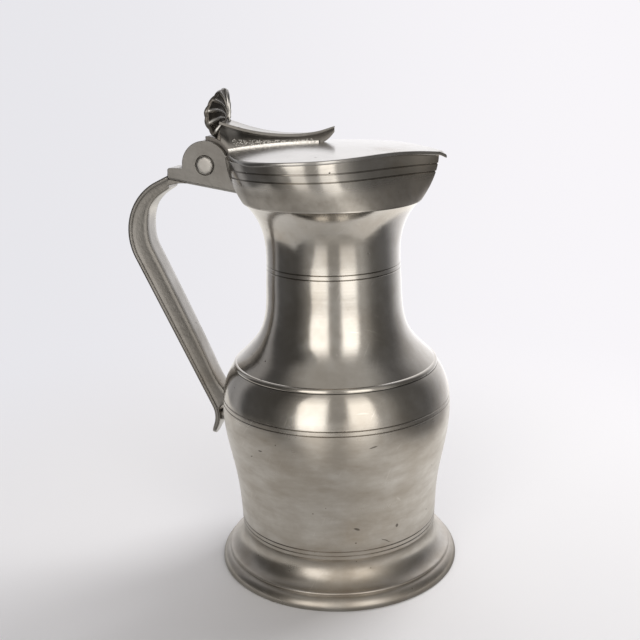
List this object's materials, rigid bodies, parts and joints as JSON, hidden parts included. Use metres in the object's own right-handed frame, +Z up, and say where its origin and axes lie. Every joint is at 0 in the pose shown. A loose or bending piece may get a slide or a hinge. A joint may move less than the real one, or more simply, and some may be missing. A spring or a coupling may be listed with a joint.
{
  "type": "lidded pewter pitcher",
  "caption": "Waisted pewter pitcher with a pointed lip, a hinged lid with a shell thumbpiece, a spread foot and a strap handle.",
  "frame": {"origin": "centre of the ring on which the foot stands, on the pitcher's turned axis", "axes": "+Z up along the turned axis, +X towards the spout, handle and hinge on -X, hinge pin along Y"},
  "size_m": [0.1564, 0.115, 0.2254],
  "materials": {
    "pewter_turned": "turned and burnished, dulled with age",
    "pewter_lid": "hammered thin, worn and spotted",
    "pewter_cast": "cast and scraped, with dark hollows",
    "solder": "rough and pitted",
    "hinge_metal": "dark and greasy"
  },
  "bodies": {
    "pitcher": {"base_disc": "pewter_cast", "base_solder": "solder", "foot": "pewter_turned", "lower_body": "pewter_turned", "neck": "pewter_turned", "lip_collar": "pewter_turned", "hinge_ear_near": "pewter_cast", "hinge_ear_far": "pewter_cast", "ear_solder_near": "solder", "ear_solder_far": "solder", "hinge_block": "pewter_cast", "hinge_pin": "hinge_metal", "pin_cover_near": "pewter_cast", "pin_cover_far": "pewter_cast", "handle": "pewter_cast", "handle_strut": "pewter_cast"},
    "lid": {"lid": "pewter_lid", "lid_knuckle": "pewter_cast", "lid_wedge": "pewter_cast", "wedge_solder_near": "solder", "wedge_solder_far": "solder", "thumbpiece": "pewter_cast"}
  },
  "joints": [
    {"name": "lid_hinge", "type": "hinge", "parent": "pitcher", "child": "lid", "pos_m": [-0.058, 0, 0.191], "axis": [0, -1, 0], "range_deg": [0, 100]}
  ]
}
